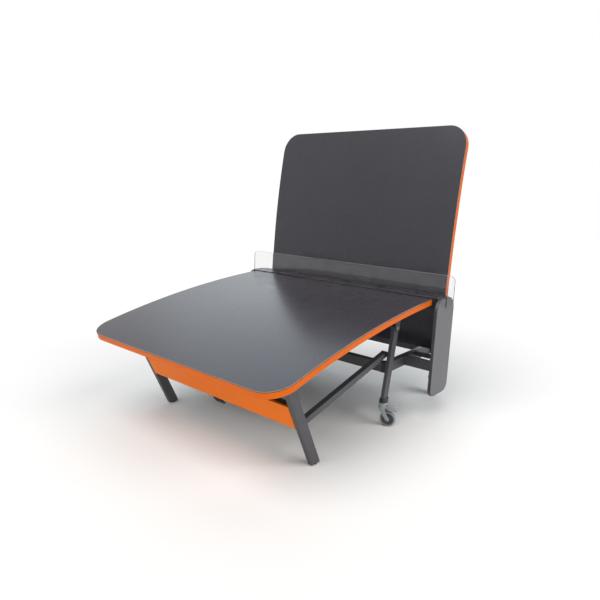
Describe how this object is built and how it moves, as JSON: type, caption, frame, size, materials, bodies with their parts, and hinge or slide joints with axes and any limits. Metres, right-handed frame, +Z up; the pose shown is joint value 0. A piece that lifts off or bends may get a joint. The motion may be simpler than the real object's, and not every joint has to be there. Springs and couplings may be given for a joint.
{
  "type": "folding table tennis table",
  "caption": "Folding table tennis table with a curved playing surface, clear net panel, slanted folding legs and braked casters, one half upright for solo play.",
  "frame": {"origin": "on the floor, at the middle of the bounding box", "axes": "+X across the table, +Y along it from the half that is down to the half that stands upright, +Z up"},
  "size_m": [1.7, 1.9338, 1.842],
  "materials": {
    "playing_surface": "matte anthracite laminate",
    "beam_laminate": "matte anthracite laminate",
    "edge_band": "matte orange edge band",
    "orange_panel": "satin orange powder coat",
    "side_plate": "matte grey laminate with dark edges",
    "clear_net": "clear",
    "powder_coat": "fine dark grey powder coat",
    "black_plastic": "moulded black plastic",
    "caster_plastic": "moulded light grey plastic",
    "caster_tyre": "grey rubber tyre on a dark hub",
    "bolt": "zinc plated"
  },
  "bodies": {
    "base": {"base_frame": "powder_coat", "centre_beam": "beam_laminate", "side_plate_left": "side_plate", "side_plate_right": "side_plate", "front_left_caster_leg": "powder_coat", "front_left_collar": "black_plastic", "front_right_caster_leg": "powder_coat", "front_right_collar": "black_plastic", "rear_left_caster_leg": "powder_coat", "rear_left_collar": "black_plastic", "rear_right_caster_leg": "powder_coat", "rear_right_collar": "black_plastic"},
    "net": {"net": "clear_net"},
    "front_half": {"front_board": "playing_surface", "front_edge_band": "edge_band", "front_left_fold_bracket": "powder_coat", "front_left_leg_bracket": "powder_coat", "front_right_fold_bracket": "powder_coat", "front_right_leg_bracket": "powder_coat"},
    "front_legs": {"front_crossbar": "powder_coat", "front_panel": "orange_panel", "front_left_leg": "powder_coat", "front_left_foot": "black_plastic", "front_right_leg": "powder_coat", "front_right_foot": "black_plastic"},
    "front_handle": {"front_handle": "black_plastic"},
    "front_left_strut": {"front_left_strut": "powder_coat", "front_left_strut_bolt": "bolt"},
    "front_right_strut": {"front_right_strut": "powder_coat", "front_right_strut_bolt": "bolt"},
    "front_left_caster": {"front_left_caster_fork": "caster_plastic"},
    "front_left_wheel": {"front_left_caster_wheel": "caster_tyre"},
    "front_left_pedal": {"front_left_caster_pedal": "caster_plastic"},
    "front_right_caster": {"front_right_caster_fork": "caster_plastic"},
    "front_right_wheel": {"front_right_caster_wheel": "caster_tyre"},
    "front_right_pedal": {"front_right_caster_pedal": "caster_plastic"},
    "rear_half": {"rear_board": "playing_surface", "rear_edge_band": "edge_band", "rear_left_fold_bracket": "powder_coat", "rear_left_leg_bracket": "powder_coat", "rear_right_fold_bracket": "powder_coat", "rear_right_leg_bracket": "powder_coat"},
    "rear_legs": {"rear_crossbar": "powder_coat", "rear_panel": "orange_panel", "rear_left_leg": "powder_coat", "rear_left_foot": "black_plastic", "rear_right_leg": "powder_coat", "rear_right_foot": "black_plastic"},
    "rear_handle": {"rear_handle": "black_plastic"},
    "rear_left_strut": {"rear_left_strut": "powder_coat", "rear_left_strut_bolt": "bolt"},
    "rear_right_strut": {"rear_right_strut": "powder_coat", "rear_right_strut_bolt": "bolt"},
    "rear_left_caster": {"rear_left_caster_fork": "caster_plastic"},
    "rear_left_wheel": {"rear_left_caster_wheel": "caster_tyre"},
    "rear_left_pedal": {"rear_left_caster_pedal": "caster_plastic"},
    "rear_right_caster": {"rear_right_caster_fork": "caster_plastic"},
    "rear_right_wheel": {"rear_right_caster_wheel": "caster_tyre"},
    "rear_right_pedal": {"rear_right_caster_pedal": "caster_plastic"}
  },
  "joints": [
    {"name": "net_lift", "type": "slide", "parent": "base", "child": "net", "axis": [0, 0, 1], "range_m": [0, 0.21]},
    {"name": "front_fold", "type": "hinge", "parent": "base", "child": "front_half", "pos_m": [0, 0.26908, 0.605], "axis": [-1, 0, 0], "range_deg": [0, 93.98]},
    {"name": "front_leg_swing", "type": "hinge", "parent": "front_half", "child": "front_legs", "pos_m": [0, -0.72762, 0.53299], "axis": [-1, 0, 0], "range_deg": [-55.87, 0]},
    {"name": "front_handle_pull", "type": "hinge", "parent": "front_legs", "child": "front_handle", "pos_m": [0, -0.6199, 0.24978], "axis": [-1, 0, 0], "range_deg": [0, 10], "stiffness_Nm_per_rad": 0.05, "springref_deg": -11.46},
    {"name": "front_left_strut_swing", "type": "hinge", "parent": "base", "child": "front_left_strut", "pos_m": [-0.563, 0.23859, 0.436], "axis": [-1, 0, 0], "range_deg": [0, 100.73]},
    {"name": "front_right_strut_swing", "type": "hinge", "parent": "base", "child": "front_right_strut", "pos_m": [0.563, 0.23859, 0.436], "axis": [-1, 0, 0], "range_deg": [0, 100.73]},
    {"name": "front_left_swivel", "type": "hinge", "parent": "base", "child": "front_left_caster", "pos_m": [-0.61, 0.18808, 0.15], "axis": [0, 0, 1], "continuous": true},
    {"name": "front_left_wheel_roll", "type": "hinge", "parent": "front_left_caster", "child": "front_left_wheel", "pos_m": [-0.57993, 0.19902, 0.048], "axis": [0.342, -0.9397, 0], "continuous": true},
    {"name": "front_left_brake", "type": "hinge", "parent": "front_left_caster", "child": "front_left_pedal", "pos_m": [-0.61, 0.18808, 0.1194], "axis": [-0.342, 0.9397, 0], "range_deg": [0, 7]},
    {"name": "front_right_swivel", "type": "hinge", "parent": "base", "child": "front_right_caster", "pos_m": [0.61, 0.18808, 0.15], "axis": [0, 0, 1], "continuous": true},
    {"name": "front_right_wheel_roll", "type": "hinge", "parent": "front_right_caster", "child": "front_right_wheel", "pos_m": [0.64007, 0.19902, 0.048], "axis": [0.342, -0.9397, 0], "continuous": true},
    {"name": "front_right_brake", "type": "hinge", "parent": "front_right_caster", "child": "front_right_pedal", "pos_m": [0.61, 0.18808, 0.1194], "axis": [-0.342, 0.9397, 0], "range_deg": [0, 7]},
    {"name": "rear_fold", "type": "hinge", "parent": "base", "child": "rear_half", "pos_m": [0, 0.79708, 0.605], "axis": [-1, 0, 0], "range_deg": [0, 93.98]},
    {"name": "rear_leg_swing", "type": "hinge", "parent": "rear_half", "child": "rear_legs", "pos_m": [0, 0.79973, 1.60429], "axis": [-1, 0, 0], "range_deg": [-55.87, 0]},
    {"name": "rear_handle_pull", "type": "hinge", "parent": "rear_legs", "child": "rear_handle", "pos_m": [0, 0.89026, 1.31513], "axis": [1, 0, 0], "range_deg": [0, 10], "stiffness_Nm_per_rad": 0.05, "springref_deg": -11.46},
    {"name": "rear_left_strut_swing", "type": "hinge", "parent": "base", "child": "rear_left_strut", "pos_m": [-0.563, 0.82757, 0.436], "axis": [-1, 0, 0], "range_deg": [0, 100.73]},
    {"name": "rear_right_strut_swing", "type": "hinge", "parent": "base", "child": "rear_right_strut", "pos_m": [0.563, 0.82757, 0.436], "axis": [-1, 0, 0], "range_deg": [0, 100.73]},
    {"name": "rear_left_swivel", "type": "hinge", "parent": "base", "child": "rear_left_caster", "pos_m": [-0.61, 0.87808, 0.15], "axis": [0, 0, 1], "continuous": true},
    {"name": "rear_left_wheel_roll", "type": "hinge", "parent": "rear_left_caster", "child": "rear_left_wheel", "pos_m": [-0.62835, 0.90429, 0.048], "axis": [0.8192, 0.5736, 0], "continuous": true},
    {"name": "rear_left_brake", "type": "hinge", "parent": "rear_left_caster", "child": "rear_left_pedal", "pos_m": [-0.61, 0.87808, 0.1194], "axis": [-0.8192, -0.5736, 0], "range_deg": [0, 7]},
    {"name": "rear_right_swivel", "type": "hinge", "parent": "base", "child": "rear_right_caster", "pos_m": [0.61, 0.87808, 0.15], "axis": [0, 0, 1], "continuous": true},
    {"name": "rear_right_wheel_roll", "type": "hinge", "parent": "rear_right_caster", "child": "rear_right_wheel", "pos_m": [0.59165, 0.90429, 0.048], "axis": [0.8192, 0.5736, 0], "continuous": true},
    {"name": "rear_right_brake", "type": "hinge", "parent": "rear_right_caster", "child": "rear_right_pedal", "pos_m": [0.61, 0.87808, 0.1194], "axis": [-0.8192, -0.5736, 0], "range_deg": [0, 7]}
  ],
  "couplings": [
    {"joint": "front_leg_swing", "follows": "front_fold", "ratio": -0.59344},
    {"joint": "front_left_strut_swing", "follows": "front_fold", "ratio": 1.0707},
    {"joint": "front_right_strut_swing", "follows": "front_fold", "ratio": 1.0707},
    {"joint": "rear_leg_swing", "follows": "rear_fold", "ratio": -0.59344},
    {"joint": "rear_left_strut_swing", "follows": "rear_fold", "ratio": 1.0707},
    {"joint": "rear_right_strut_swing", "follows": "rear_fold", "ratio": 1.0707}
  ]
}
